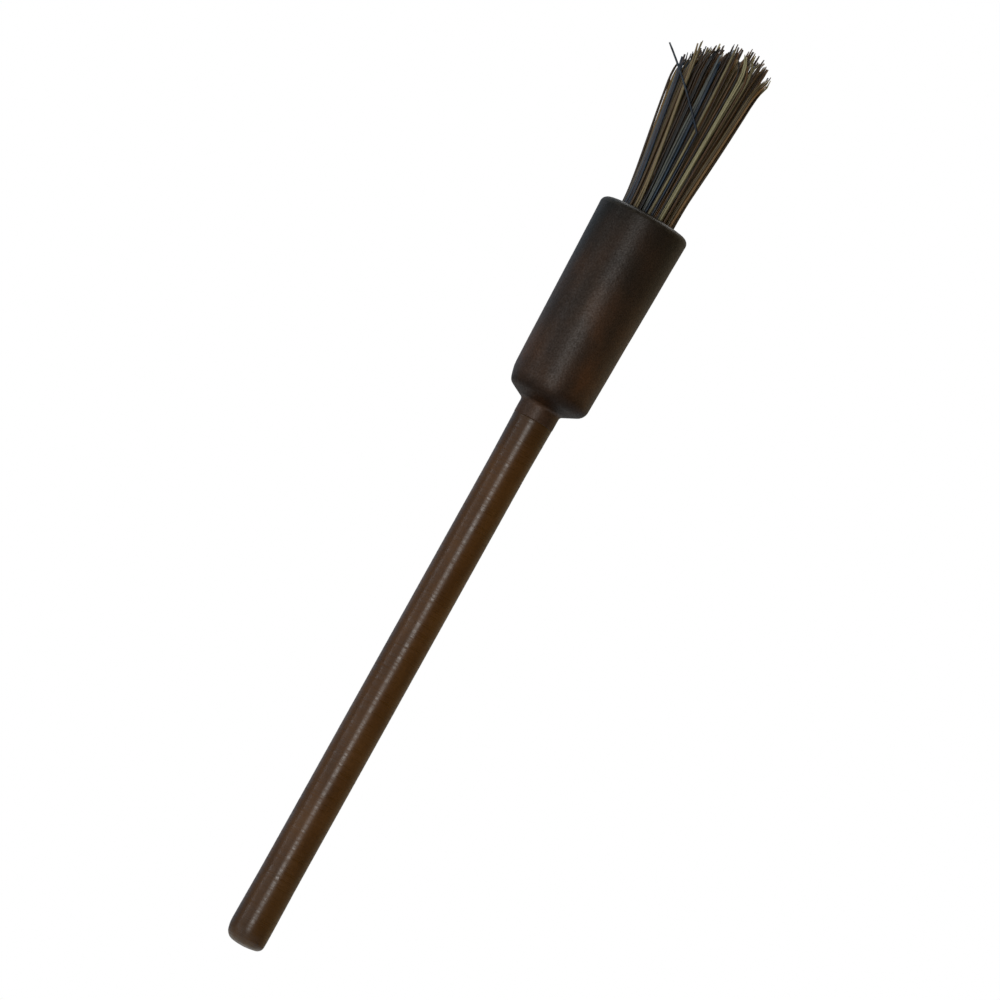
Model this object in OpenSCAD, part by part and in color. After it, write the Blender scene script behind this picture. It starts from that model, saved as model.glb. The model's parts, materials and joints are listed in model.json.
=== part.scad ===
// Small end brush on a round shank, for cleaning tips.
// The Z axis is the brush's own axis. Z = 0 is where the shank's full diameter starts, just above
// its rounded tail, and the tuft points up.

/* [Shank] */
// Diameter of the gripped part of the shank
shank_d = 3.0; // [2.8:0.05:3.2]
// Length of the straight, gripped part
grip_l = 39.0; // [20:0.5:60]
// Length over which the shank swells towards its shoulder
swell_l = 4.0; // [2:0.5:8]
// How much wider the shoulder is than the gripped part
shoulder_swell = 0.12; // [0.02:0.02:0.6]
// Radius of the tail's rounded corner
tail_corner_r = 0.5; // [0.2:0.05:0.8]
// Radius of the tail's shallow crown
tail_crown_r = 4.7; // [3:0.1:10]
// Diameter of the tenon that passes through the floor of the cup
tenon_d = 2.0; // [1.4:0.05:2.2]
// Diameter of the head peened over inside the cup
peen_d = 3.2; // [2.8:0.1:3.3]
// Height of the peened head
peen_h = 0.6; // [0.4:0.05:0.9]

/* [Cup] */
// How much wider the boss is than the shoulder it seats on
boss_step = 0.04; // [0.02:0.02:0.4]
// Length of the boss under the cup
boss_l = 1.15; // [0.6:0.05:2]
// Length of the cup from its base to its mouth
cup_l = 16.0; // [11:0.1:22]
// Outside diameter of the cup where its wall begins
cup_base_d = 6.42; // [6:0.02:7.6]
// Outside diameter of the cup at its mouth
cup_mouth_d = 7.1; // [6.8:0.02:8.6]
// Slope of the cone under the cup
base_slope = 27; // [15:1:35]
// Radius of the corner between that cone and the wall
base_corner_r = 0.87; // [0.4:0.01:0.9]
// Radius of the corner at the mouth
lip_corner_r = 0.5; // [0.2:0.05:0.7]
// Fall of the lip's face from the bore to its corner
lip_slope = 8; // [4:1:15]
// Diameter of the bore that holds the tuft
bore_d = 4.6; // [4:0.05:4.8]
// Thickness of the cup's floor over its boss
floor_t = 2.0; // [1.4:0.1:3]
// Thickness of the washer under the peened head
washer_t = 0.35; // [0.2:0.05:0.6]

/* [Tuft] */
// Diameter of one bristle
bristle_d = 0.18; // [0.16:0.01:0.24]
// Length from the mouth to the longest tips
free_l = 14.3; // [8:0.1:18]
// How far uneven trimming leaves the shortest bristles below the longest
ragged_l = 1.6; // [0:0.1:3]
// How far the tips at the tuft's edge fall below those in its middle
edge_drop = 1.0; // [0:0.1:2]
// How far the outer bristles spread sideways by their tips
flare = 1.7; // [0.4:0.05:2]
// How far the whole tuft leans to one side by its tips
lean = 0.4; // [0:0.05:0.6]
// How far the bed of resin stays below the mouth
bed_depth = 2.5; // [1:0.1:4]
// Length of each bristle set in the resin
root_l = 3.0; // [1.5:0.1:5]

/* [Stray bristle] */
// Height above the mouth at which the stray bristle bends away
stray_rise = 6.8; // [4:0.1:8]
// Angle through which it bends
stray_bend = 45; // [20:1:50]
// How much thicker than the wire the bead at that kink is
stray_bead = 0.02; // [0.01:0.01:0.06]
// Length of its straight end
stray_end_l = 6.9; // [2:0.1:8]
// How far it stands out in front, as a multiple of its neighbours' spread
stray_spread = 1.5; // [1.5:0.1:2.2]

/* [Fits] */
// Clearance around the tenon, on its radius
tenon_fit = 0.02; // [0.01:0.01:0.1]
// Clearance around the washer, on its radius
washer_fit = 0.05; // [0.03:0.01:0.15]
// Room left between the outermost bristles and the bore
tuft_fit = 0.03; // [0.02:0.01:0.15]
// Smallest room left between two bristles
bristle_fit = 0.01; // [0.005:0.005:0.05]

/* [Hidden] */
$fn = 64;
shank_r = shank_d / 2;
shoulder_r = (shank_d + shoulder_swell) / 2;
boss_r = shoulder_r + boss_step / 2;
tenon_r = tenon_d / 2;
bore_r = bore_d / 2;
eps = 0.01;

// Heights of the shoulders and faces, from the tail up
tail_core_r = shank_r - tail_corner_r;
tail_h = tail_crown_r - sqrt(pow(tail_crown_r - tail_corner_r, 2) - pow(tail_core_r, 2));
shoulder_z = grip_l + swell_l;
base_z = shoulder_z + boss_l;
floor_z = base_z + floor_t;
peen_z = floor_z + washer_t;
peen_top_z = peen_z + peen_h;
mouth_z = base_z + cup_l;
bed_top_z = mouth_z - bed_depth;
tip_z = mouth_z + free_l;

// The cup's outline
cup_base_r = cup_base_d / 2;
cup_mouth_r = cup_mouth_d / 2;
base_corner_x = cup_base_r - base_corner_r;
base_cone_x = base_corner_x + base_corner_r * sin(base_slope);
base_cone_z = base_z + (base_cone_x - boss_r) * tan(base_slope);
base_corner_z = base_cone_z + base_corner_r * cos(base_slope);
lip_corner_x = cup_mouth_r - lip_corner_r;
lip_face_x = lip_corner_x + lip_corner_r * sin(lip_slope);
lip_face_z = mouth_z - (lip_face_x - bore_r) * tan(lip_slope);
lip_corner_z = lip_face_z - lip_corner_r * cos(lip_slope);

// The bristles stand in a sunflower spiral, which spaces them evenly over the bore. Its smallest
// spacing is 1.54 times its radius over the root of their number, so their size sets how many fit.
// The outermost ones have bent a little by the mouth, and still clear it
golden_angle = 180 * (3 - sqrt(5));
reach = tip_z - bed_top_z;
mouth_bend = (flare + lean) * pow(bed_depth / reach, 2);
tuft_r = bore_r - tuft_fit - bristle_d / 2 - mouth_bend;
bristles = floor(pow(1.54 * tuft_r / (bristle_d + bristle_fit), 2));
zones = ["core", "middle", "outer"];
zone_edge = [0, 0.42, 0.74];
shades = ["black", "umber", "bronze", "straw", "slate"];
shade_rgb = [[0.09, 0.08, 0.08], [0.26, 0.18, 0.12], [0.40, 0.27, 0.14], [0.62, 0.50, 0.30],
             [0.22, 0.27, 0.33]];
shade_share = [0.40, 0.75, 0.92, 0.99];
shade_draw = rands(0, 1, bristles, 11);
length_draw = rands(0, 1, bristles, 23);

function spiral_r(i) = tuft_r * sqrt((i + 0.5) / bristles);
function spiral_point(i) = spiral_r(i) * [cos(i * golden_angle), sin(i * golden_angle)];
function zone_of(i) = len([for (e = zone_edge) if (spiral_r(i) / tuft_r >= e) e]) - 1;
function drawn_shade(i) = len([for (s = shade_share) if (shade_draw[i] >= s) s]);
// Of each sixteen, the first five are one of every shade, so that no zone lacks any
function shade_of(i) = i % 16 < len(shades) ? i % 16 : drawn_shade(i);
function spread(i) = flare * spiral_point(i) / tuft_r - [lean, 0];
function rise(i) = reach - ragged_l * pow(length_draw[i], 2) - edge_drop * pow(spiral_r(i) / tuft_r, 3);

// The bristle nearest the front is the stray one
front_y = min([for (i = [0 : bristles - 1]) spiral_point(i).y]);
stray_at = [for (i = [0 : bristles - 1]) if (spiral_point(i).y == front_y) i][0];

// ---- shank ----
module shank_outline() {
    crown_z = tail_crown_r - tail_h;
    corner_way = [tail_core_r, -crown_z];
    intersection() {
        translate([0, crown_z]) circle(r = tail_crown_r, $fn = 128);
        polygon([[0, crown_z], [0, crown_z] + 1.3 * corner_way, [0, -2 * tail_h]]);
    }
    intersection() {
        translate([tail_core_r, 0]) circle(r = tail_corner_r);
        translate([0, -tail_h]) square([shank_r, tail_h + tail_corner_r]);
    }
    polygon([[0, 0], [shank_r, 0], [shank_r, grip_l], [shoulder_r, shoulder_z], [0, shoulder_z]]);
}

module peened_head() {
    edge = peen_h * 0.6;
    translate([0, 0, peen_z])
        rotate_extrude() {
            square([peen_d / 2 - edge, peen_h]);
            square([peen_d / 2, peen_h - edge]);
            intersection() {
                translate([peen_d / 2 - edge, peen_h - edge]) circle(r = edge);
                square([peen_d / 2, peen_h]);
            }
        }
}

module shank() {
    color([0.24, 0.17, 0.11]) {
        rotate_extrude() shank_outline();
        translate([0, 0, shoulder_z]) cylinder(r = tenon_r, h = peen_z - shoulder_z);
        peened_head();
    }
}

// ---- cup ----
module cup_outline() {
    polygon([[0, shoulder_z], [boss_r, shoulder_z], [boss_r, base_z],
             [base_cone_x, base_cone_z], [base_corner_x, base_corner_z],
             [cup_base_r, base_corner_z], [cup_mouth_r, lip_corner_z],
             [lip_corner_x, lip_corner_z], [lip_face_x, lip_face_z],
             [bore_r, mouth_z], [0, mouth_z]]);
    translate([base_corner_x, base_corner_z]) circle(r = base_corner_r);
    translate([lip_corner_x, lip_corner_z]) circle(r = lip_corner_r);
}

module cup() {
    color([0.20, 0.16, 0.13])
        difference() {
            rotate_extrude() cup_outline();
            translate([0, 0, floor_z]) cylinder(r = bore_r, h = cup_l);
            translate([0, 0, shoulder_z - 1]) cylinder(r = tenon_r + tenon_fit, h = cup_l);
        }
}

// ---- washer under the peened head ----
module washer() {
    color([0.55, 0.45, 0.25])
        translate([0, 0, floor_z])
            linear_extrude(washer_t)
                difference() {
                    circle(r = bore_r - washer_fit);
                    circle(r = tenon_r + tenon_fit);
                }
}

// ---- resin bed that holds the roots ----
module resin_bed() {
    color([0.45, 0.33, 0.16])
        difference() {
            translate([0, 0, peen_top_z]) cylinder(r = bore_r, h = bed_top_z - peen_top_z);
            for (i = [0 : bristles - 1])
                translate(concat(spiral_point(i), bed_top_z - root_l))
                    cylinder(d = bristle_d, h = root_l + 1);
        }
}

// ---- bristles ----
// A straight root set in the resin, then an arc that leaves it upright and bends the way it
// spreads, with what follows it placed at its end
module bristle(i, sideways, length) {
    bend_r = reach * reach / (2 * max(norm(sideways), eps));
    angle = length / bend_r * 180 / PI;
    translate(concat(spiral_point(i), bed_top_z)) {
        translate([0, 0, -root_l]) cylinder(d = bristle_d, h = root_l, $fn = 24);
        rotate(atan2(sideways.y, sideways.x)) translate([bend_r, 0, 0]) {
            rotate([90, 0, 180])
                rotate_extrude(angle = angle, $fn = 720)
                    translate([bend_r, 0]) circle(d = bristle_d, $fn = 24);
            rotate([0, angle, 0]) translate([-bend_r, 0, 0]) children();
        }
    }
}

module bristle_group(zone, shade) {
    color(shade_rgb[shade])
        for (i = [0 : bristles - 1])
            if (i != stray_at && zone_of(i) == zone && shade_of(i) == shade) bristle(i, spread(i), rise(i));
}

// It stands out in front of its neighbours, then is kinked across them
module stray_bristle() {
    color([0.20, 0.25, 0.31])
        bristle(stray_at, stray_spread * spread(stray_at), bed_depth + stray_rise) {
            sphere(d = bristle_d + stray_bead);
            rotate([stray_bend, 0, 0]) cylinder(d = bristle_d, h = stray_end_l, $fn = 24);
        }
}

shank();
cup();
washer();
resin_bed();
stray_bristle();
for (z = [0 : len(zones) - 1])
    for (s = [0 : len(shades) - 1])
        bristle_group(z, s);
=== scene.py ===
# %% [markdown]
# # A small end brush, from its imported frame
#
# The brush is a turned shank, a tapered cup riveted on its end, and a tuft of three hundred fine
# wires set in the cup. The frame already says where every piece is and how big it is. So we load
# it first, and everything below is measured from it instead of being placed by eye.

# %% Load the frame
import json
import math
import random

import bmesh
import bpy
import numpy as np
from mathutils import Matrix, Vector, noise


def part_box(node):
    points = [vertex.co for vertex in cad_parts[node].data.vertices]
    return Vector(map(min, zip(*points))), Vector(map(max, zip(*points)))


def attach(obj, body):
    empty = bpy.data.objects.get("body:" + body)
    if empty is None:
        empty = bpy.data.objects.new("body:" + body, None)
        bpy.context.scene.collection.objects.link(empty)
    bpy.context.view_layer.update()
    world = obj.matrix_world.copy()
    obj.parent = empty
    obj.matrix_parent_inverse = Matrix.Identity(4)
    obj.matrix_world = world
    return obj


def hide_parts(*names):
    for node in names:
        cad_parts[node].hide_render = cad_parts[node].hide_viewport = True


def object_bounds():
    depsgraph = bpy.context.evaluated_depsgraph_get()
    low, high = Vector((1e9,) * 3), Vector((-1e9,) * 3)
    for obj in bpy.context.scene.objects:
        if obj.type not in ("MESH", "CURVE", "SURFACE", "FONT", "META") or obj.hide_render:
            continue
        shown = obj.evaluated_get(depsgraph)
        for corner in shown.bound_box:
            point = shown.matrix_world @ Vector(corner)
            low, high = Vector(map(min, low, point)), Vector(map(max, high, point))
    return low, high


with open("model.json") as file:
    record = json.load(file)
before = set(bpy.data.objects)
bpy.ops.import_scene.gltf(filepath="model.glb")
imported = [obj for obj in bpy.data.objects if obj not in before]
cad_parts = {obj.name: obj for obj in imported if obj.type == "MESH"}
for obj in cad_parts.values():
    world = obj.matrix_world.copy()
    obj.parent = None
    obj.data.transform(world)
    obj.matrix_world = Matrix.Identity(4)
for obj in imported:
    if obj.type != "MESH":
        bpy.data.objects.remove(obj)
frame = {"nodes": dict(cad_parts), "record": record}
MM = 0.001
cad_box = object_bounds()
print("pieces in the frame:", len(frame["nodes"]))

# %% [markdown]
# ## The few sizes that everything hangs on
#
# The shank's radius and gripped length are stated in the record, because a collet needs them.
# The boxes of the cup and the shank give the heights of the joint and of the mouth. Z runs up the
# brush's own axis, and zero is where the shank reaches its full diameter above the rounded tail.

# %% Read the driving sizes
grip = frame["record"]["mounts"][0]["dims"]
shank_r = grip["r_mm"] * MM
grip_top = grip["length_mm"] * MM
tail_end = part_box("shank")[0].z
head_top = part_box("shank")[1].z
shoulder_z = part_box("cup")[0].z
mouth_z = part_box("cup")[1].z
cup_mouth_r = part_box("cup")[1].x
bore_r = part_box("resin_bed")[1].x
floor_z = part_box("washer")[0].z
bed_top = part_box("resin_bed")[1].z
print("cup from", round(shoulder_z / MM, 2), "to", round(mouth_z / MM, 2), "mm up")

# %% [markdown]
# ## Camera
#
# A small thing seen from far off with a long lens looks almost without perspective: its sides stay
# parallel. The camera stands in front of the brush, a few degrees towards the shank's end, so that
# the underside of the cup just shows. It is rolled, which lays the upright brush over to the right.

# %% Place the camera
view_width = 72.8 * MM
camera_distance = 0.6
towards_tail = math.radians(4.0)
brush_lean = math.radians(29.11)
aim = Vector((0.69 * MM, 0, 36.8 * MM))

forward = Vector((0, math.cos(towards_tail), math.sin(towards_tail)))
level = Vector((1, 0, 0))
upright = level.cross(forward)
right = level * math.cos(brush_lean) + upright * math.sin(brush_lean)
up = upright * math.cos(brush_lean) - level * math.sin(brush_lean)

lens = bpy.data.cameras.new("long_lens")
lens.sensor_width = 36
lens.lens = lens.sensor_width * camera_distance / view_width
lens.clip_start = 0.01
camera = bpy.data.objects.new("camera", lens)
turn = Matrix((right, up, -forward)).transposed()
camera.matrix_world = Matrix.Translation(aim - forward * camera_distance) @ turn.to_4x4()
bpy.context.scene.collection.objects.link(camera)
bpy.context.scene.camera = camera
bpy.context.scene.view_settings.view_transform = "Standard"
print("focal length", round(lens.lens), "mm")

# %% [markdown]
# ## Studio
#
# Small dark things are shot on a white sweep in an otherwise dim room. The camera sees plain white
# behind the brush. What the brush sees is a ring of light around it: pale behind, a little blue from
# a window on the left, warmer on the right, and nearly black on the camera's side. A round surface
# reflects that ring, so it is pale at its edges and keeps its own deep colour in the middle.

# %% Node helpers
def node(tree, kind, **sockets):
    """A new node with some of its inputs or settings filled in."""
    made = tree.nodes.new(kind)
    for key, value in sockets.items():
        if hasattr(made, key):
            setattr(made, key, value)
        else:
            made.inputs[key.replace("_", " ")].default_value = value
    return made


def ramp(tree, factor, stops):
    """A colour ramp from a list of (place, colour)."""
    made = tree.nodes.new("ShaderNodeValToRGB")
    while len(made.color_ramp.elements) < len(stops):
        made.color_ramp.elements.new(0.5)
    for stop, (place, colour) in zip(made.color_ramp.elements, stops):
        stop.position = place
        stop.color = (*colour, 1)
    tree.links.new(factor, made.inputs["Fac"])
    return made.outputs["Color"]


def split_xyz(tree, vector):
    made = tree.nodes.new("ShaderNodeSeparateXYZ")
    tree.links.new(vector, made.inputs[0])
    return made.outputs


print("node helpers ready")

# %% [markdown]
# The ring is a colour ramp over the compass direction of a ray. It starts on the camera's side, runs
# over the left to the far side and comes back over the right. A light path node gives the camera
# itself plain white instead of the ring, so the background stays clean.

# %% Ring of light
RING = [(0, (0.006, 0.006, 0.007)), (50, (0.03, 0.036, 0.042)), (90, (0.12, 0.17, 0.21)),
        (128, (0.33, 0.44, 0.55)), (180, (0.27, 0.28, 0.29)), (222, (0.38, 0.32, 0.22)),
        (246, (0.42, 0.34, 0.20)), (270, (0.19, 0.135, 0.06)), (305, (0.05, 0.035, 0.014)),
        (360, (0.006, 0.006, 0.007))]
world = bpy.data.worlds.new("studio")
bpy.context.scene.world = world
world.use_nodes = True
sky = world.node_tree
sky.nodes.clear()
direction = split_xyz(sky, node(sky, "ShaderNodeTexCoord").outputs["Generated"])
bearing = node(sky, "ShaderNodeMath", operation="ARCTAN2")
sky.links.new(direction["X"], bearing.inputs[0])
sky.links.new(direction["Y"], bearing.inputs[1])
turn_around = node(sky, "ShaderNodeMapRange", From_Min=-math.pi, From_Max=math.pi)
sky.links.new(bearing.outputs[0], turn_around.inputs["Value"])
around = ramp(sky, turn_around.outputs["Result"], [(degrees / 360, colour) for degrees, colour in RING])
lighting = node(sky, "ShaderNodeBackground")
sky.links.new(around, lighting.inputs["Color"])
seen = node(sky, "ShaderNodeBackground", Color=(1, 1, 1, 1), Strength=1.0)
which = node(sky, "ShaderNodeMixShader")
sky.links.new(node(sky, "ShaderNodeLightPath").outputs["Is Camera Ray"], which.inputs["Fac"])
sky.links.new(lighting.outputs[0], which.inputs[1])
sky.links.new(seen.outputs[0], which.inputs[2])
sky.links.new(which.outputs[0], node(sky, "ShaderNodeOutputWorld").inputs["Surface"])
print("ring of light with", len(RING), "colours")

# %% [markdown]
# A cylinder shows each lamp as one bright line down its length, and the line's place tells where
# the lamp stands. The broad lamp is almost behind the camera and a little to the left, the thin
# one is far round to the left, and a wide one above and behind lights the floor and the back.

# %% Lamps
brush_middle = Vector((0, 0, (tail_end + cad_box[1][2]) / 2))


def soft_lamp(name, azimuth, elevation, distance, width, height, watts, colour):
    """A rectangular lamp that looks at the middle of the brush. Azimuth 0 is the camera's side."""
    a, e = math.radians(azimuth), math.radians(elevation)
    away = Vector((math.sin(a) * math.cos(e), -math.cos(a) * math.cos(e), math.sin(e)))
    data = bpy.data.lights.new(name, "AREA")
    data.shape = "RECTANGLE"
    data.size, data.size_y = width, height
    data.energy, data.color = watts, colour
    lamp = bpy.data.objects.new(name, data)
    lamp.location = brush_middle + away * distance
    lamp.rotation_euler = away.to_track_quat("Z", "Y").to_euler()
    bpy.context.scene.collection.objects.link(lamp)
    print(name, "stands", distance, "m away")


soft_lamp("broad_lamp", -8, 2, 0.42, 0.12, 0.22, 0.60, (1.0, 0.98, 0.95))
soft_lamp("left_lamp", -48, -8, 0.45, 0.26, 0.30, 0.18, (0.97, 0.98, 1.0))
soft_lamp("thin_lamp", -71, 2, 0.40, 0.04, 0.30, 0.13, (0.92, 0.95, 1.0))
soft_lamp("back_lamp", 180, 72, 0.70, 0.60, 0.60, 5.00, (1.0, 1.0, 1.0))

# %% [markdown]
# The brush is held in the air by its shank, so the floor is a plain pale sheet some way below it.

# %% Floor
floor_drop = 200 * MM
floor_half = 1.5
sheet_z = tail_end - floor_drop
quarters = ((-1, -1), (1, -1), (1, 1), (-1, 1))
corners = [(x * floor_half, y * floor_half, sheet_z) for x, y in quarters]
floor_mesh = bpy.data.meshes.new("pale_floor")
floor_mesh.from_pydata(corners, [], [(0, 1, 2, 3)])
pale_floor = bpy.data.objects.new("pale_floor", floor_mesh)
bpy.context.scene.collection.objects.link(pale_floor)
pale = bpy.data.materials.new("pale_floor")
pale.use_nodes = True
pale_shader = pale.node_tree.nodes["Principled BSDF"]
pale_shader.inputs["Base Color"].default_value = (0.92, 0.92, 0.92, 1)
pale_shader.inputs["Roughness"].default_value = 1.0
floor_mesh.materials.append(pale)
print("floor", round(floor_drop / MM), "mm below the tail")

# %% [markdown]
# ## Turned pieces
#
# The shank and the cup were cut on a lathe, so each is one outline swept around the axis. A
# modifier could do that, but building the rings ourselves lets every ring carry a little of the
# unevenness that a tool leaves. Arcs come from a formula, so a corner is as round as we ask.

# %% Outline helpers
def arc(centre_r, centre_z, radius, start, end, steps):
    """Points of an arc in the (r, z) plane, from one angle to another in degrees."""
    turns = [math.radians(start + (end - start) * i / steps) for i in range(steps + 1)]
    return [(centre_r + radius * math.cos(a), centre_z + radius * math.sin(a)) for a in turns]


def straight(start, end, step):
    """Points from start to end, no further apart than step, without the two ends."""
    count = max(1, math.ceil(math.dist(start, end) / step))
    way = np.array(end) - np.array(start)
    return [tuple(np.array(start) + way * i / count) for i in range(1, count)]


print("a quarter round in two steps:", [(round(r, 2), round(z, 2)) for r, z in arc(0, 0, 1, 0, 90, 2)])

# %% [markdown]
# Every piece we make becomes a mesh through one helper, which turns its faces outwards and shades
# them smooth. A lathe piece also keeps a number on each vertex that says how much it is rubbed there.

# %% Mesh and lathe helpers
def new_piece(name, vertices, faces, material):
    """A mesh object in the scene, with its faces turned outwards."""
    mesh = bpy.data.meshes.new(name)
    mesh.from_pydata([tuple(v) for v in vertices], [], faces)
    work = bmesh.new()
    work.from_mesh(mesh)
    bmesh.ops.recalc_face_normals(work, faces=work.faces)
    work.to_mesh(mesh)
    work.free()
    mesh.polygons.foreach_set("use_smooth", [True] * len(mesh.polygons))
    mesh.materials.append(material)
    piece = bpy.data.objects.new(name, mesh)
    bpy.context.scene.collection.objects.link(piece)
    return piece


def store(piece, attribute, values):
    """Keeps a number on every vertex, where a material can read it."""
    piece.data.attributes.new(attribute, "FLOAT", "POINT").data.foreach_set("value", values)


def lathe(name, outline, sides, material, uneven, wear, closed_ring=False):
    """Sweeps an outline of (r, z) points about Z. The first and last points are on the axis,
    unless the outline is a closed ring. uneven(angle, r, z) is added to each radius, and
    wear(r, z) is stored on each vertex."""
    rings = outline if closed_ring else outline[1:-1]
    vertices = []
    for r, z in rings:
        for k in range(sides):
            angle = 2 * math.pi * k / sides
            radius = r + uneven(angle, r, z)
            vertices.append((radius * math.cos(angle), radius * math.sin(angle), z))
    count = len(rings)
    pairs = [(i, (i + 1) % count) for i in range(count if closed_ring else count - 1)]
    faces = [(a * sides + k, a * sides + (k + 1) % sides, b * sides + (k + 1) % sides, b * sides + k)
             for a, b in pairs for k in range(sides)]
    if not closed_ring:
        for pole, ring in ((outline[0], 0), (outline[-1], count - 1)):
            vertices.append((0, 0, pole[1]))
            tip = len(vertices) - 1
            faces += [(tip, ring * sides + k, ring * sides + (k + 1) % sides) for k in range(sides)]
    piece = new_piece(name, vertices, faces, material)
    store(piece, "wear", [wear(math.hypot(v[0], v[1]), v[2]) for v in vertices])
    return piece


print("lathe helpers ready")

# %% [markdown]
# ## Bronzed finishes
#
# Brass that has been bronzed wears a thin brown oxide. It no longer looks like bare metal: the
# colour is that of the oxide, and the gloss is a neutral one on top. So both finishes are a dark
# brown base with ordinary gloss, and what sets them apart is their grain. The shank keeps the rings
# of the turning tool, and the cup has the fine speckle of blasting. The shank is darker towards its
# tail, and painted shade darkens it just under the cup. Painted shade also darkens the cup's colour
# and gloss in the crook under its base, and the cup is darker and duller towards its mouth.

# %% Colour helpers
def new_material(name):
    made = bpy.data.materials.new(name)
    made.use_nodes = True
    tree = made.node_tree
    return made, tree, tree.nodes["Principled BSDF"]


def grain(tree, size, stretch=(1, 1, 1), detail=3.0, rough=0.5):
    """Noise whose blotches are about size across, longer or shorter along X, Y and Z by stretch."""
    place = tree.nodes.new("ShaderNodeMapping")
    place.inputs["Scale"].default_value = [1 / (size * s) for s in stretch]
    tree.links.new(node(tree, "ShaderNodeTexCoord").outputs["Object"], place.inputs["Vector"])
    made = node(tree, "ShaderNodeTexNoise", Scale=1.0, Detail=detail, Roughness=rough)
    tree.links.new(place.outputs["Vector"], made.inputs["Vector"])
    return made.outputs["Fac"]


def blend_colours(tree, factor, first, second, how="MIX"):
    made = tree.nodes.new("ShaderNodeMix")
    made.data_type = "RGBA"
    made.blend_type = how
    for socket, value in ((made.inputs[0], factor), (made.inputs[6], first), (made.inputs[7], second)):
        if isinstance(value, bpy.types.NodeSocket):
            tree.links.new(value, socket)
        else:
            socket.default_value = value if isinstance(value, float) else (*value, 1)
    return made.outputs[2]


print("colour helpers ready")

# %% [markdown]
# Gloss, wear and bump are made from the same noise as the colour, mapped onto another range. The
# heights run along the brush's own axis, so a colour can change from one end of a piece to the other.

# %% Gloss, wear and bump helpers
def spread_value(tree, value, low, high):
    """Maps a noise value onto a range, for gloss. Most of the noise lies between 0.3 and 0.7."""
    made = node(tree, "ShaderNodeMapRange", From_Min=0.3, From_Max=0.7, To_Min=low, To_Max=high)
    tree.links.new(value, made.inputs["Value"])
    return made.outputs["Result"]


def times(tree, first, second):
    made = node(tree, "ShaderNodeMath", operation="MULTIPLY")
    tree.links.new(first, made.inputs[0])
    tree.links.new(second, made.inputs[1])
    return made.outputs[0]


def share_of_height(tree, low, high):
    """Runs from 0 at one height to 1 at another."""
    made = node(tree, "ShaderNodeMapRange", From_Min=low, From_Max=high)
    height = split_xyz(tree, node(tree, "ShaderNodeTexCoord").outputs["Object"])["Z"]
    tree.links.new(height, made.inputs["Value"])
    return made.outputs["Result"]


def roughen(tree, shader, *layers):
    """Bump from several (height value, depth in metres) layers, one on top of another."""
    normal = None
    for height, depth_m in layers:
        bump = tree.nodes.new("ShaderNodeBump")
        bump.inputs["Distance"].default_value = depth_m
        tree.links.new(height, bump.inputs["Height"])
        if normal:
            tree.links.new(normal, bump.inputs["Normal"])
        normal = bump.outputs["Normal"]
    tree.links.new(normal, shader.inputs["Normal"])


def lighten_worn(tree, colour, rubbed, strength):
    """Mixes in the colour of rubbed metal where the wear attribute is high."""
    wear = node(tree, "ShaderNodeAttribute", attribute_name="wear").outputs["Fac"]
    patches = spread_value(tree, grain(tree, 0.35 * MM), 0.0, strength)
    return blend_colours(tree, times(tree, wear, patches), colour, rubbed)


print("gloss, wear and bump helpers ready")

# %% [markdown]
# On the shank, noise that is stretched along X and Y but fine along Z gives the tool's rings: they
# change the colour a little, the gloss more, and the bump a few microns. A slow stain goes over them.
# The colour is also darker towards the tail, and painted shade darkens it just under the cup's base.

# %% Turned and bronzed brass for the shank
def turned_bronze():
    made, tree, shader = new_material("turned_bronze")
    tool_rings = grain(tree, 0.16 * MM, stretch=(14, 14, 1), detail=3.0, rough=0.7)
    stain = grain(tree, 1.2 * MM, stretch=(1, 1, 4), detail=4.0)
    brown = ramp(tree, stain, [(0.30, (0.060, 0.0235, 0.0040)), (0.50, (0.078, 0.0310, 0.0058)),
                               (0.72, (0.098, 0.0410, 0.0090))])
    faint = ramp(tree, tool_rings, [(0.35, (0.92, 0.92, 0.92)), (0.65, (1.05, 1.05, 1.05))])
    brown = blend_colours(tree, 1.0, brown, faint, "MULTIPLY")
    along = share_of_height(tree, tail_end, shoulder_z)
    # Darker towards the tail. The last stop is painted shade: the shadow of the cup's base on the
    # shank.
    tail_dark_and_cup_shade = ramp(tree, along, [(0.0, (0.60, 0.64, 0.68)), (0.04, (0.80, 0.84, 0.86)),
                                (0.22, (0.97, 0.98, 0.98)), (0.92, (0.97, 0.98, 0.98)),
                                (1.0, (0.62, 0.68, 0.90))])
    brown = blend_colours(tree, 1.0, brown, tail_dark_and_cup_shade, "MULTIPLY")
    brown = lighten_worn(tree, brown, (0.13, 0.105, 0.058), 0.35)
    tree.links.new(brown, shader.inputs["Base Color"])
    tree.links.new(spread_value(tree, tool_rings, 0.22, 0.42), shader.inputs["Roughness"])
    tree.links.new(spread_value(tree, tool_rings, 0.50, 0.24), shader.inputs["Specular IOR Level"])
    roughen(tree, shader, (tool_rings, 0.008 * MM), (stain, 0.006 * MM))
    return made


shank_finish = turned_bronze()
print("made the finish", shank_finish.name)

# %% [markdown]
# Blasting leaves pits in all directions, so the cup's noise is even and fine. The same speckle sets
# colour, gloss and bump, because a pit holds more oxide and shines less. The colour turns from a
# warm brown at the base to a cooler one at the mouth.

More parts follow.
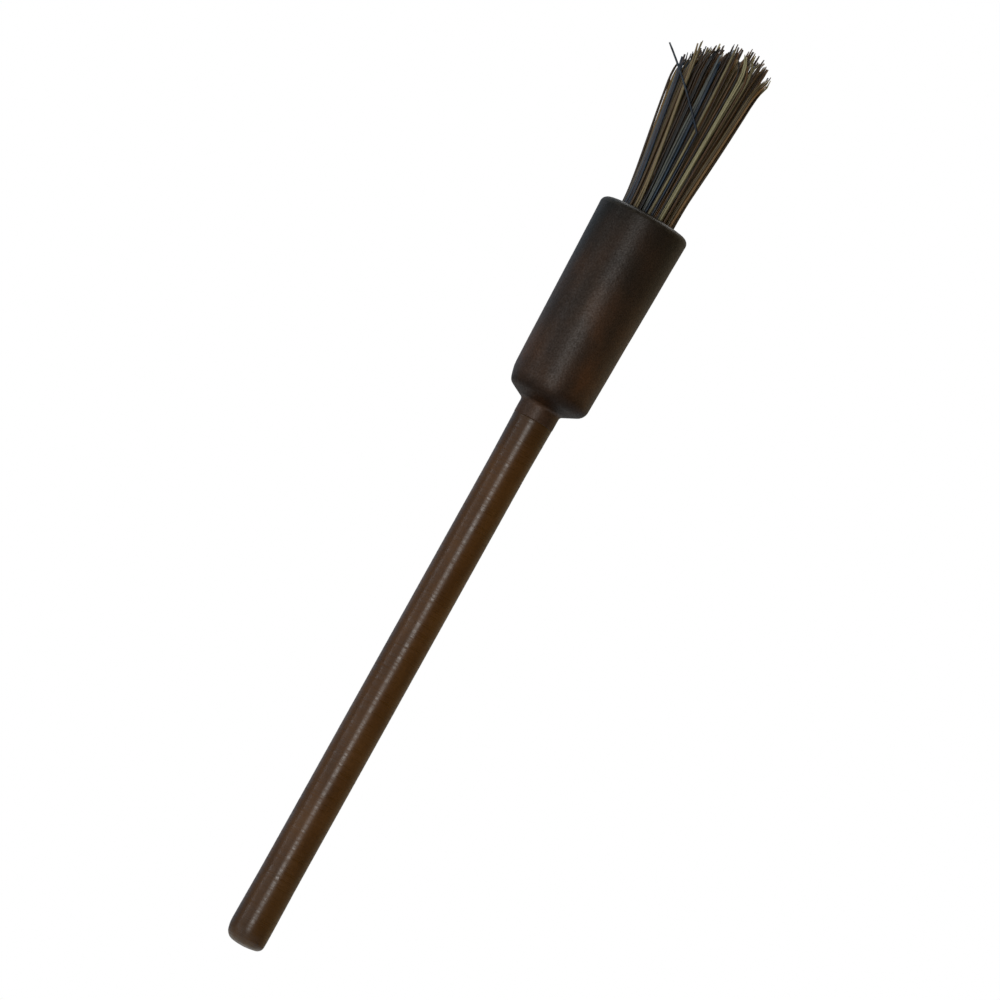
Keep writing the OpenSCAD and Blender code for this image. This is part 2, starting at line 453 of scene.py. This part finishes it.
# %% Blasted and bronzed brass for the cup
def blasted_bronze():
    made, tree, shader = new_material("blasted_bronze")
    speckle = grain(tree, 0.13 * MM, detail=2.0, rough=0.6)
    patch = grain(tree, 2.4 * MM, stretch=(1, 1, 1.7), detail=4.0)
    along = share_of_height(tree, shoulder_z, mouth_z)
    warm = ramp(tree, patch, [(0.34, (0.0290, 0.0130, 0.0052)), (0.50, (0.0440, 0.0185, 0.0062)),
                              (0.66, (0.0700, 0.0265, 0.0072))])
    cool = ramp(tree, patch, [(0.34, (0.0190, 0.0142, 0.0094)), (0.66, (0.0350, 0.0215, 0.0128))])
    oxide = blend_colours(tree, along, warm, cool)
    # Painted shade: colour and gloss drop in the crook under the cup's base. Both are also darker
    # towards the mouth.
    levels = ((0.060, 1.0), (0.078, 0.28), (0.115, 0.34), (0.165, 0.95), (0.35, 1.0), (1.0, 0.64))
    crook_shade_and_darker_mouth = ramp(tree, along, [(place, (level,) * 3) for place, level in levels])
    oxide = blend_colours(tree, 1.0, oxide, crook_shade_and_darker_mouth, "MULTIPLY")
    glitter = ramp(tree, speckle, [(0.38, (0.88, 0.88, 0.88)), (0.64, (1.14, 1.13, 1.11))])
    oxide = blend_colours(tree, 1.0, oxide, glitter, "MULTIPLY")
    oxide = lighten_worn(tree, oxide, (0.085, 0.075, 0.055), 0.7)
    tree.links.new(oxide, shader.inputs["Base Color"])
    tree.links.new(spread_value(tree, speckle, 0.48, 0.40), shader.inputs["Roughness"])
    sheen = times(tree, spread_value(tree, speckle, 0.20, 0.42), crook_shade_and_darker_mouth)
    tree.links.new(sheen, shader.inputs["Specular IOR Level"])
    ripple = grain(tree, 0.45 * MM, detail=3.0)
    roughen(tree, shader, (speckle, 0.014 * MM), (ripple, 0.02 * MM))
    return made


cup_finish = blasted_bronze()
print("made the finish", cup_finish.name)

# %% [markdown]
# ## Shank
#
# Its tail is a shallow crown that runs into a rounded corner, and the two arcs share a tangent, so
# no edge shows. The bar is a hair thicker just above the tail, where it was parted off, and it
# swells again towards the shoulder, where riveting pushed the metal outwards. The tool left rings a
# tenth of a millimetre apart, so the outline gets a point for each, moved by a few microns. One
# side of the tail has been filed and knocked rounder than the other.

# %% Sizes of the shank
tail_corner = 0.5 * MM
tail_crown = 4.7 * MM
burr = 0.045 * MM
burr_z = 0.6 * MM
burr_reach = 3.0 * MM
swell_power = 1.3
shoulder_r = 1.56 * MM
shoulder_edge = 0.04 * MM
tenon_r = 1.0 * MM
head_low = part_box("washer")[1].z
head_r = 1.6 * MM
head_edge = 0.36 * MM
shank_sides = 128
ring_pitch = 0.1 * MM
ring_depth = 0.003 * MM
print("riveted head", round((head_top - head_low) / MM, 2), "mm high")

# %% [markdown]
# The outline starts on the axis at the tail and ends on the axis on top of the riveted head. The
# random moves of the tool rings come from a fixed seed, so the bar is the same on every run.

# %% Shank outline
random.seed(5)
crown_z = tail_end + tail_crown
corner_turn = math.degrees(math.atan2(-crown_z, shank_r - tail_corner))
tail = [(0, tail_end)] + arc(0, crown_z, tail_crown, -90, corner_turn, 8)[1:]
tail += arc(shank_r - tail_corner, 0, tail_corner, corner_turn, 0, 10)[1:]


def bar_radius(z):
    """Radius of the bar: straight, but for the burr at the tail and the swell at the shoulder."""
    swell = max(0.0, (z - grip_top) / (shoulder_z - grip_top))
    at_tail = burr * math.exp(-((z - burr_z) / burr_reach) ** 2)
    return shank_r + at_tail + (shoulder_r - shank_r) * swell ** swell_power


bar = []
z = ring_pitch
while z < shoulder_z - shoulder_edge:
    bar.append((bar_radius(z) + random.uniform(-ring_depth, ring_depth), z))
    z += ring_pitch
shoulder = arc(shoulder_r - shoulder_edge, shoulder_z - shoulder_edge, shoulder_edge, 0, 90, 4)
tenon = [(tenon_r, shoulder_z), (tenon_r, head_low), (head_r, head_low)]
head = arc(head_r - head_edge, head_top - head_edge, head_edge, 0, 90, 6) + [(0, head_top)]
burr_at_zero = bar_radius(0) - shank_r
tail = [(r + burr_at_zero * (1 - z / tail_end) * r / shank_r, z) for r, z in tail]
shank_outline = tail + bar + shoulder + tenon + head
print("points on the shank's outline:", len(shank_outline))

# %% [markdown]
# The lathe asks two things of every vertex: how far it leaves the true round, and how much it is
# rubbed. Only the tail leaves the round, where it was knocked. A collet and a bench top rub the
# tail's rim, and handling rubs the sharp shoulder.

# %% Shank
knock_depth = 0.36 * MM
knock_top = 0.8 * MM
knock_side = math.radians(212)
knock_power = 1.8
rim_z = -0.45 * MM
rim_reach = 0.22 * MM
shoulder_wear = 0.5


def knocked(angle, r, z):
    """Takes the tail's corner further in on one side. The angle of that side is knock_side."""
    if z > knock_top or r < 0.5 * shank_r:
        return 0.0
    deep = ((knock_top - z) / (knock_top - tail_end)) ** knock_power * (r / shank_r - 0.5) * 2
    return -knock_depth * deep * (1 + math.cos(angle - knock_side)) / 2


def shank_wear(r, z):
    """Most on the tail's rim, some on the shoulder."""
    rim = math.exp(-((z - rim_z) / rim_reach) ** 2)
    return rim + shoulder_wear * math.exp(-abs(z - shoulder_z) / shoulder_edge)


shank = lathe("shank_turned", shank_outline, shank_sides, shank_finish, knocked, shank_wear)
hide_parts("shank")
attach(shank, "root")
print("shank rings:", len(bar))

# %% [markdown]
# ## Cup
#
# The cup tapers slightly towards the shank. Under it a shallow cone and a round shoulder run into
# a short boss that sits on the shank, and the line between the two is a fine groove where both
# edges are broken. At the mouth the lip falls away from the bore and rolls over into the wall. The
# outline goes around the metal once, outside and inside, so the cup is a real hollow shell.

# %% Sizes of the cup
boss_height = 1.15 * MM
boss_r = 1.58 * MM
boss_edge = 0.04 * MM
boss_fillet = 0.28 * MM
cup_base_r = 3.21 * MM
base_slope = 27.0
base_corner = 0.87 * MM
lip_slope = 8.0
lip_corner = 0.5 * MM
lip_dip = 0.01 * MM
bore_edge = 0.10 * MM
hole_gap = 0.02 * MM
cup_sides = 160
wall_step = 0.4 * MM
face_step = 0.15 * MM
inside_step = 1.0 * MM
print("the cup's bore is", round((mouth_z - floor_z) / MM, 2), "mm deep")

# %% [markdown]
# The round corners at the base and at the lip each run smoothly into the straight lines beside
# them. So the corners' middles come first, and the lines are drawn between the ends of the arcs.

# %% Cup outline
base_z = shoulder_z + boss_height
base_x = cup_base_r - base_corner
cone_r = base_x + base_corner * math.sin(math.radians(base_slope))
cone_z = base_z + (cone_r - boss_r) * math.tan(math.radians(base_slope))
wall_low = cone_z + base_corner * math.cos(math.radians(base_slope))
lip_x = cup_mouth_r - lip_corner
lip_face_r = lip_x + lip_corner * math.sin(math.radians(lip_slope))
lip_face_z = mouth_z - (lip_face_r - bore_r) * math.tan(math.radians(lip_slope))
wall_high = lip_face_z - lip_corner * math.cos(math.radians(lip_slope))

boss = arc(boss_r - boss_edge, shoulder_z + boss_edge, boss_edge, -90, 0, 4)
fillet_turn = 90 - base_slope
fillet_in = boss_fillet * math.tan(math.radians(fillet_turn / 2))
fillet = arc(boss_r + boss_fillet, base_z - fillet_in, boss_fillet, 180, 180 - fillet_turn, 6)
underside = straight(fillet[-1], (cone_r, cone_z), face_step)
base_round = arc(base_x, wall_low, base_corner, base_slope - 90, 0, 16)
wall = straight((cup_base_r, wall_low), (cup_mouth_r, wall_high), wall_step)
lip_round = arc(lip_x, wall_high, lip_corner, 0, 90 - lip_slope, 12)
lip_face = straight((lip_face_r, lip_face_z), (bore_r + bore_edge, mouth_z - lip_dip), face_step)
bore_round = arc(bore_r + bore_edge, mouth_z - 2 * lip_dip - bore_edge, bore_edge, 90, 180, 5)
inside = straight(bore_round[-1], (bore_r, floor_z), inside_step)
hole_r = tenon_r + hole_gap
bottom = [(bore_r, floor_z), (hole_r, floor_z), (hole_r, shoulder_z)]
outside = boss + fillet + underside + base_round + wall
cup_outline = outside + lip_round + lip_face + bore_round + inside + bottom
print("points on the cup's outline:", len(cup_outline))

# %% [markdown]
# No real cup is a perfect round. Smooth noise over the wall gives it a slow wander, and a fixed
# soft patch takes a little more off the base corner on one side. The bore stays true, because the
# resin and the wires stand in it.

# %% Cup
wander = 0.012 * MM
wander_size = 2.5 * MM
rub_depth = 0.14 * MM
rub_below = 0.25 * MM
rub_reach = 0.5 * MM
bore_wear_reach = 0.09 * MM
lip_wear_reach = 0.05 * MM
lip_wear = 0.35


def hand_finish(angle, r, z):
    """The wall wanders by about a hundredth of a millimetre, and one side of the base corner is
    rubbed rounder."""
    if r < bore_r + 2 * bore_edge and z > cone_z:
        return 0.0
    spot = Vector((math.cos(angle) * 1.6, math.sin(angle) * 1.6, z / wander_size))
    rubbed = math.exp(-((z - wall_low + rub_below) / rub_reach) ** 2) * max(0.0, -math.cos(angle))
    return noise.noise(spot) * wander - rubbed * (rub_depth if r > boss_r + boss_fillet else 0.0)


def cup_wear(r, z):
    """Most on the sharp edge of the bore, and some where the lip rolls over."""
    bore_rim = math.exp(-math.dist((r, z), (bore_r + bore_edge / 2, mouth_z)) / bore_wear_reach)
    lip = math.exp(-((math.dist((r, z), (lip_x, wall_high)) - lip_corner) / lip_wear_reach) ** 2)
    return bore_rim + (lip_wear * lip if z > wall_high else 0)


cup = lathe("cup_turned", cup_outline, cup_sides, cup_finish, hand_finish, cup_wear, closed_ring=True)
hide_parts("cup")
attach(cup, "root")
taper = math.degrees(math.atan2(cup_mouth_r - cup_base_r, wall_high - wall_low))
print("cup wall taper", round(taper, 2), "deg")

# %% [markdown]
# ## What is hidden in the cup
#
# The washer under the riveted head and the resin around the roots already have the right shape in
# the frame. They only need a finish of their own: stamped bare brass with fine scratches, and amber
# resin with a little haze in it.

# %% Washer and resin
def bare_brass():
    made, tree, shader = new_material("bare_brass")
    scratches = grain(tree, 0.05 * MM, stretch=(1, 14, 14), detail=3.0)
    metal = ramp(tree, scratches, [(0.35, (0.46, 0.30, 0.10)), (0.65, (0.66, 0.47, 0.18))])
    tree.links.new(metal, shader.inputs["Base Color"])
    tree.links.new(spread_value(tree, scratches, 0.22, 0.42), shader.inputs["Roughness"])
    shader.inputs["Metallic"].default_value = 1.0
    roughen(tree, shader, (scratches, 0.004 * MM))
    return made


def amber_resin():
    made, tree, shader = new_material("amber_resin")
    haze = grain(tree, 0.5 * MM, detail=4.0)
    amber = ramp(tree, haze, [(0.3, (0.17, 0.075, 0.016)), (0.7, (0.36, 0.19, 0.05))])
    tree.links.new(amber, shader.inputs["Base Color"])
    tree.links.new(spread_value(tree, haze, 0.10, 0.28), shader.inputs["Roughness"])
    shader.inputs["Transmission Weight"].default_value = 0.35
    roughen(tree, shader, (haze, 0.02 * MM))
    return made


for name, finish in (("washer", bare_brass()), ("resin_bed", amber_resin())):
    frame["nodes"][name].data.materials.clear()
    frame["nodes"][name].data.materials.append(finish)
    print(name, "has the finish", finish.name)

# %% [markdown]
# ## Finding the bristles
#
# The frame holds each group of bristles as one mesh of loose, stiff arcs. Every arc is one island
# of joined vertices: its lowest points are the root and its highest are the tip. We follow the
# edges to sort the vertices into islands, find both ends of each and keep the root. The new bristles
# then grow from those same roots, so each group still stands for its own node.

# %% Islands, roots and tips
weld_size = 0.0005 * MM
root_slice = 0.02 * MM
tip_slice = 0.09 * MM


def islands(mesh):
    """Lists of vertex numbers that are joined by edges, after welding doubled vertices."""
    places = np.zeros(len(mesh.vertices) * 3)
    mesh.vertices.foreach_get("co", places)
    places = places.reshape(-1, 3)
    _, weld = np.unique(np.round(places / weld_size).astype(np.int64), axis=0, return_inverse=True)
    weld = weld.ravel()
    owner = list(range(weld.max() + 1))

    def top(i):
        while owner[i] != i:
            owner[i] = owner[owner[i]]
            i = owner[i]
        return i

    ends = np.zeros(len(mesh.edges) * 2, np.int64)
    mesh.edges.foreach_get("vertices", ends)
    for a, b in weld[ends].reshape(-1, 2):
        owner[top(a)] = top(b)
    groups = {}
    for i, w in enumerate(weld):
        groups.setdefault(top(w), []).append(i)
    return [places[g] for g in groups.values()]


def root_and_tip(points):
    """The middle of an island's lowest ring and of its highest one, which is tilted."""
    low = points[points[:, 2] < points[:, 2].min() + root_slice].mean(0)
    high = points[points[:, 2] > points[:, 2].max() - tip_slice].mean(0)
    return Vector(low), Vector(high)


ZONES = ("core", "middle", "outer")
SHADES = ("black", "umber", "bronze", "straw", "slate")
groups = {}
for zone in ZONES:
    for shade in SHADES:
        bristles = islands(frame["nodes"][f"{zone}_{shade}_bristles"].data)
        roots = [root_and_tip(points)[0] for points in bristles]
        roots.sort(key=lambda root: (round(root.x / MM, 2), round(root.y / MM, 2)))
        groups[zone, shade] = roots
print("bristles found:", sum(len(roots) for roots in groups.values()))

# %% [markdown]
# ## Locks
#
# Wires that have been used and rinsed cling together, first by threes and fours into strands, and
# then strands into locks with dark gaps between them. A lock has its own drift and length, and some
# curl over at their ends. A strand has its own cast of colour, and a few are blued. Every bristle
# joins the strand whose middle is nearest to its root. Well inside the tuft one in six joins the
# second nearest, so it crosses over, and that is what stops the tuft from looking combed.

# %% Spread and drift helpers
tuft_r = bore_r - 0.14 * MM
lock_draw = random.Random(31)


def spread_middles(count):
    """Middles of bundles, as even over the tuft as the seeds of a sunflower."""
    middles = []
    for k in range(count):
        far = tuft_r * math.sqrt((k + 0.5) / count)
        way = k * math.radians(137.5) + lock_draw.uniform(-0.3, 0.3)
        middles.append(Vector((far * math.cos(way), far * math.sin(way), 0)))
    return middles


def keep_edge(middle, shift):
    """A sideways shift without its part towards or off the axis, the more so near the tuft's edge."""
    radial = middle.normalized()
    return shift - radial * shift.dot(radial) * (middle.length / tuft_r) ** 2


def drift_from(middle, size):
    """A random sideways drift that leaves the tuft's outline closed."""
    return keep_edge(middle, Vector((lock_draw.gauss(0, size), lock_draw.gauss(0, size), 0)) * MM)


print("the tuft is", round(2 * tuft_r / MM, 2), "mm across in the bore")

# %% [markdown]
# A lock is drawn first, and then its strands take their drift, their curl and often their colour
# from it. Each strand is pulled part of the way to its lock's middle, which opens the dark gaps.

# %% Locks and strands
lock_count = 24
lock_drift = 0.13
lock_trim = 0.16
curl_size = 0.38
curl_dip = -0.2
curl_share = 0.4
strand_count = 88
strand_drift = 0.06
strand_trim = 0.24
same_cast_share = 0.4
blue_share = 0.11
blue_depth = 0.85
crossing = 0.17

locks = []
for middle in spread_middles(lock_count):
    curl = Vector((lock_draw.gauss(0, curl_size), lock_draw.gauss(0, curl_size), curl_dip)) * MM
    locks.append({"middle": middle, "drift": drift_from(middle, lock_drift), "cast": lock_draw.random(),
                  "curl": keep_edge(middle, curl) * (lock_draw.random() < curl_share),
                  "trim": lock_draw.gauss(0, lock_trim) * MM})
strands = []
for middle in spread_middles(strand_count):
    lock = min(locks, key=lambda each: (each["middle"] - middle).length)
    cast = lock["cast"] if lock_draw.random() < same_cast_share else lock_draw.random()
    pull = (lock["middle"] - middle) * lock_draw.uniform(0.15, 0.42)
    strands.append({"middle": middle, "to_lock": keep_edge(middle, pull),
                    "drift": lock["drift"] + drift_from(middle, strand_drift),
                    "curl": lock["curl"], "cast": cast,
                    "trim": lock["trim"] + lock_draw.gauss(0, strand_trim) * MM,
                    "blue": blue_depth * (lock_draw.random() < blue_share)})


def strand_of(root, draw):
    """The nearest strand, or for some wires well inside the tuft the second nearest."""
    flat = Vector((root.x, root.y, 0))
    near = sorted(strands, key=lambda strand: (strand["middle"] - flat).length)
    return near[1] if flat.length < 0.8 * tuft_r and draw.random() < crossing else near[0]


blued = sum(each["blue"] > 0 for each in strands)
print(len(locks), "locks,", len(strands), "strands,", blued, "of them blue")

# %% [markdown]
# ## How a bristle bends
#
# Packed in the bore, the wires run side by side. Above the mouth each one is pushed outwards by
# its neighbours, turns through a few degrees in the first millimetres and then runs straight. On
# top of that come its lock, a slight bow of its own, an unevenly trimmed length and, for some, a
# hooked tip. The tips on the side it leans to are shortest, and the longest stand past the middle.

# %% How far the bristles spread
free_length = 14.15 * MM
soft_start = 1.5 * MM


def flare_at(height):
    """How much of the outward spread is reached at a height above the mouth."""
    full = free_length - soft_start * (1 - math.exp(-free_length / soft_start))
    return (height - soft_start * (1 - math.exp(-height / soft_start))) / full


print("at half height", round(flare_at(free_length / 2), 2), "of the spread is reached")

# %% [markdown]
# The sizes below belong to single wires. The function first settles a wire's length, then which way
# it goes, and then walks up it from the resin, adding a point at every step. Last it draws in
# whatever would stand out past the widest part of the tuft.

# %% The path of one bristle
outward = 0.77
tuft_lean = -0.50 * MM
widest = 3.60 * MM
path_steps = 20
shorter_by = 1.2 * MM
trim_spread = 0.10
gather_low, gather_high = 0.35, 0.68
sway = 0.05
bow_size = 0.07
hook_share = 0.10
hook_low, hook_high = 0.15, 0.40
hook_from = 0.84


def bristle_path(root, strand, draw):
    """Points from the root in the bed to the tip."""
    flat = Vector((root.x, root.y, 0))
    across, deep = root.x / tuft_r, root.y / tuft_r
    drop = (0.5 - 1.05 * across + 1.15 * across ** 2 + 0.6 * deep ** 2) * MM
    length = free_length - drop + strand["trim"]
    length += -shorter_by * draw.random() ** 3 + draw.gauss(0, trim_spread) * MM
    gather = (strand["middle"] - flat) * draw.uniform(gather_low, gather_high) + strand["to_lock"]
    sideways = (flat + gather) * outward + Vector((tuft_lean, 0, 0)) + strand["drift"]
    sideways += Vector((draw.gauss(0, sway), draw.gauss(0, sway), 0)) * MM
    turn = draw.uniform(0, 2 * math.pi)
    bow = Vector((math.cos(turn), math.sin(turn), 0)) * draw.gauss(0, bow_size) * MM
    hook = strand["curl"]
    if draw.random() < hook_share:
        hook = Vector((math.cos(turn * 3), math.sin(turn * 3), -0.3))
        hook = hook * draw.uniform(hook_low, hook_high) * MM
    points = [root, Vector((root.x, root.y, bed_top))]
    for i in range(path_steps + 1):
        t = i / path_steps
        grown = flare_at(length * t)
        cling = 0.25 + 0.75 * min(1.0, 1.5 * t) ** 1.2
        away = flat + gather * cling + sideways * grown + bow * math.sin(math.pi * t)
        away += hook * max(0.0, (t - hook_from) / (1 - hook_from)) ** 2
        leaning = Vector((tuft_lean * grown, 0, 0))
        spread = Vector((away.x, away.y, 0)) - leaning
        spread *= min(1.0, widest / max(spread.length, MM))
        points.append(spread + leaning + Vector((0, 0, mouth_z + length * t + away.z)))
    return points


trial = bristle_path(groups["core", "black"][0], strands[0], random.Random(0))
print("a wire has", len(trial), "points and stands out", round((trial[-1].z - mouth_z) / MM, 1), "mm")

# %% [markdown]
# A wire is a tube with eight sides along that path. A curve with a bevel would give the same
# shape, but then every group would be a curve with hundreds of splines. We place the rings in code
# instead, which also lets each wire have its own thickness, a slight taper and a cut tip.

# %% Tubes along paths
SIDES = 8


def tube(points, radii, vertices, faces):
    """Adds a closed tube to the lists. The rings turn with the path, without twisting."""
    first = len(vertices)
    across = Vector((1, 0, 0))
    for i, point in enumerate(points):
        along = (points[min(i + 1, len(points) - 1)] - points[max(i - 1, 0)]).normalized()
        across = (across - along * across.dot(along)).normalized()
        other = along.cross(across)
        for k in range(SIDES):
            angle = 2 * math.pi * k / SIDES
            vertices.append(point + (across * math.cos(angle) + other * math.sin(angle)) * radii[i])
    for i in range(len(points) - 1):
        a, b = first + i * SIDES, first + (i + 1) * SIDES
        faces += [(a + k, a + (k + 1) % SIDES, b + (k + 1) % SIDES, b + k) for k in range(SIDES)]
    last = first + (len(points) - 1) * SIDES
    faces.append(tuple(first + k for k in reversed(range(SIDES))))
    faces.append(tuple(last + k for k in range(SIDES)))


def wire_radii(points, radius, draw):
    """Thickness along a wire: a slight taper, and a tip that is cut or worn to a blunt point."""
    radii = [radius * (1 - 0.15 * i / len(points)) for i in range(len(points))]
    radii[-1] = radius * draw.uniform(0.3, 0.8)
    return radii


print("each wire is a tube with", SIDES, "sides")

# %% [markdown]
# ## Tarnished wire
#
# The tuft looks brown from afar, but close up it holds five colours: wires gone almost black,
# dark and mid brown ones, a few worn back to dull straw, and some with the blue of a steel oxide.
# One material with five sets of colours does it. Each wire carries three numbers on its vertices:
# its tone shifts the colour within the set, its cast mixes in the colour of its strand, and the
# third says how much of a blue film it has. Fine noise along the wire breaks all of it up.

# %% Bristle material
WIRE_COLOURS = {
    "black": ((0.0028, 0.0032, 0.0036), (0.018, 0.0170, 0.0155)),
    "umber": ((0.0250, 0.0140, 0.0065), (0.105, 0.0580, 0.0250)),
    "bronze": ((0.0700, 0.0330, 0.0100), (0.290, 0.1420, 0.0430)),
    "straw": ((0.1700, 0.1400, 0.0600), (0.600, 0.5500, 0.3000)),
    "slate": ((0.0045, 0.0100, 0.0180), (0.052, 0.0830, 0.1050)),
}
STRAND_COLOURS = [(0.0, (0.0025, 0.0032, 0.0040)), (0.22, (0.011, 0.0090, 0.0072)),
                  (0.42, (0.066, 0.036, 0.015)), (0.75, (0.130, 0.083, 0.036)),
                  (1.0, (0.310, 0.270, 0.140))]
BLUE_FILM = [(0.30, (0.002, 0.008, 0.022)), (1.0, (0.034, 0.088, 0.150))]
strand_share = 0.50


def tarnished_wire(shade):
    made, tree, shader = new_material(f"wire_{shade}")
    tone = node(tree, "ShaderNodeAttribute", attribute_name="tone").outputs["Fac"]
    tarnish = grain(tree, 0.22 * MM, stretch=(1, 1, 7), detail=3.0)
    mixed = node(tree, "ShaderNodeMath", operation="MULTIPLY_ADD")
    tree.links.new(tarnish, mixed.inputs[0])
    mixed.inputs[1].default_value = 0.6
    tree.links.new(tone, mixed.inputs[2])
    dark, light = WIRE_COLOURS[shade]
    colour = ramp(tree, mixed.outputs[0], [(0.20, dark), (1.0, light)])
    cast = node(tree, "ShaderNodeAttribute", attribute_name="cast").outputs["Fac"]
    colour = blend_colours(tree, strand_share, colour, ramp(tree, cast, STRAND_COLOURS))
    film = ramp(tree, mixed.outputs[0], BLUE_FILM)
    blue = node(tree, "ShaderNodeAttribute", attribute_name="blue").outputs["Fac"]
    colour = blend_colours(tree, blue, colour, film)
    tree.links.new(colour, shader.inputs["Base Color"])
    tree.links.new(spread_value(tree, tarnish, 0.30, 0.50), shader.inputs["Roughness"])
    shader.inputs["Specular IOR Level"].default_value = 0.36
    roughen(tree, shader, (tarnish, 0.006 * MM))
    return made


wire_finish = {shade: tarnished_wire(shade) for shade in SHADES}
print("wire finishes:", ", ".join(wire_finish))

# %% [markdown]
# Now every root gets its strand, its path, its thickness and its colours, and each node of the frame
# gets one mesh back with all of its bristles. Every group has a seed of its own, so a change to one
# of them leaves the others alone.

# %% Grow the tuft
wire_r = 0.092 * MM


def wire_tones(points, base, draw):
    """One number per ring: the wire's own tone, and for some a paler, worn tip."""
    worn_tip = draw.uniform(0.2, 0.6) if draw.random() < 0.3 else 0.0
    count = len(points)
    return [base + worn_tip * max(0.0, (i / count - 0.8) / 0.2) for i in range(count)]


def bristle_group(name, roots, shade, draw):
    """One piece with all the bristles of a node, and the three colour numbers of each."""
    vertices, faces, tones, blues, casts = [], [], [], [], []
    for root in roots:
        strand = strand_of(root, draw)
        points = bristle_path(root, strand, draw)
        radii = wire_radii(points, wire_r * draw.uniform(0.72, 1.12), draw)
        tube(points, radii, vertices, faces)
        base = draw.uniform(0.0, 0.6)
        tones += [tone for tone in wire_tones(points, base, draw) for _ in range(SIDES)]
        blues += [strand["blue"] * draw.uniform(0.5, 1)] * (len(points) * SIDES)
        casts += [strand["cast"] + draw.uniform(-0.08, 0.08)] * (len(points) * SIDES)
    piece = new_piece(name, vertices, faces, wire_finish[shade])
    store(piece, "tone", tones)
    store(piece, "blue", blues)
    store(piece, "cast", casts)
    return piece


for seed, ((zone, shade), roots) in enumerate(groups.items()):
    group_name = f"{zone}_{shade}_bristles"
    group = bristle_group(group_name + "_grown", roots, shade, random.Random(100 + seed))
    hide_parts(group_name)
    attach(group, "root")
    print(group_name, len(roots))

# %% [markdown]
# ## The stray
#
# One wire has been kinked by use and lies across the front of the tuft. Its root and its tip come
# from the frame, and so does the depth of its kink. It is blued, but for its worn tip.

# %% Stray bristle
kink_rise = 6.8 * MM
kink_slice = 0.15 * MM
kink_shift = 0.05 * MM
sag = 0.22 * MM
stray_points = islands(frame["nodes"]["stray_bristle"].data)[0]
stray_root, stray_tip = root_and_tip(stray_points)
kink_z = mouth_z + kink_rise
near_kink = stray_points[np.abs(stray_points[:, 2] - kink_z) < kink_slice]
kink = Vector((stray_root.x - kink_shift, near_kink[:, 1].mean(), kink_z))
stray_path = [stray_root, Vector((stray_root.x, stray_root.y, bed_top))]
for i in range(9):
    t = i / 8
    rise = Vector((stray_root.x, stray_root.y, mouth_z)).lerp(kink, t)
    rise.y -= (kink.y - stray_root.y) * (t - t ** 2)
    stray_path.append(rise)
for i in range(1, 13):
    t = i / 12
    place = kink.lerp(stray_tip, t)
    place.z += sag * math.sin(math.pi * t)
    stray_path.append(place)
draw = random.Random(77)
vertices, faces = [], []
tube(stray_path, wire_radii(stray_path, wire_r * 0.95, draw), vertices, faces)
stray = new_piece("stray_bristle_grown", vertices, faces, wire_finish["slate"])
along_stray = [i / len(stray_path) for i in range(len(stray_path)) for _ in range(SIDES)]
store(stray, "tone", [0.02 + 0.5 * max(0.0, share - 0.6) for share in along_stray])
store(stray, "blue", [0.8 * min(1.0, 4 * (1 - share)) for share in along_stray])
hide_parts("stray_bristle")
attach(stray, "root")
print("kink", round(kink_rise / MM, 1), "mm above the mouth")
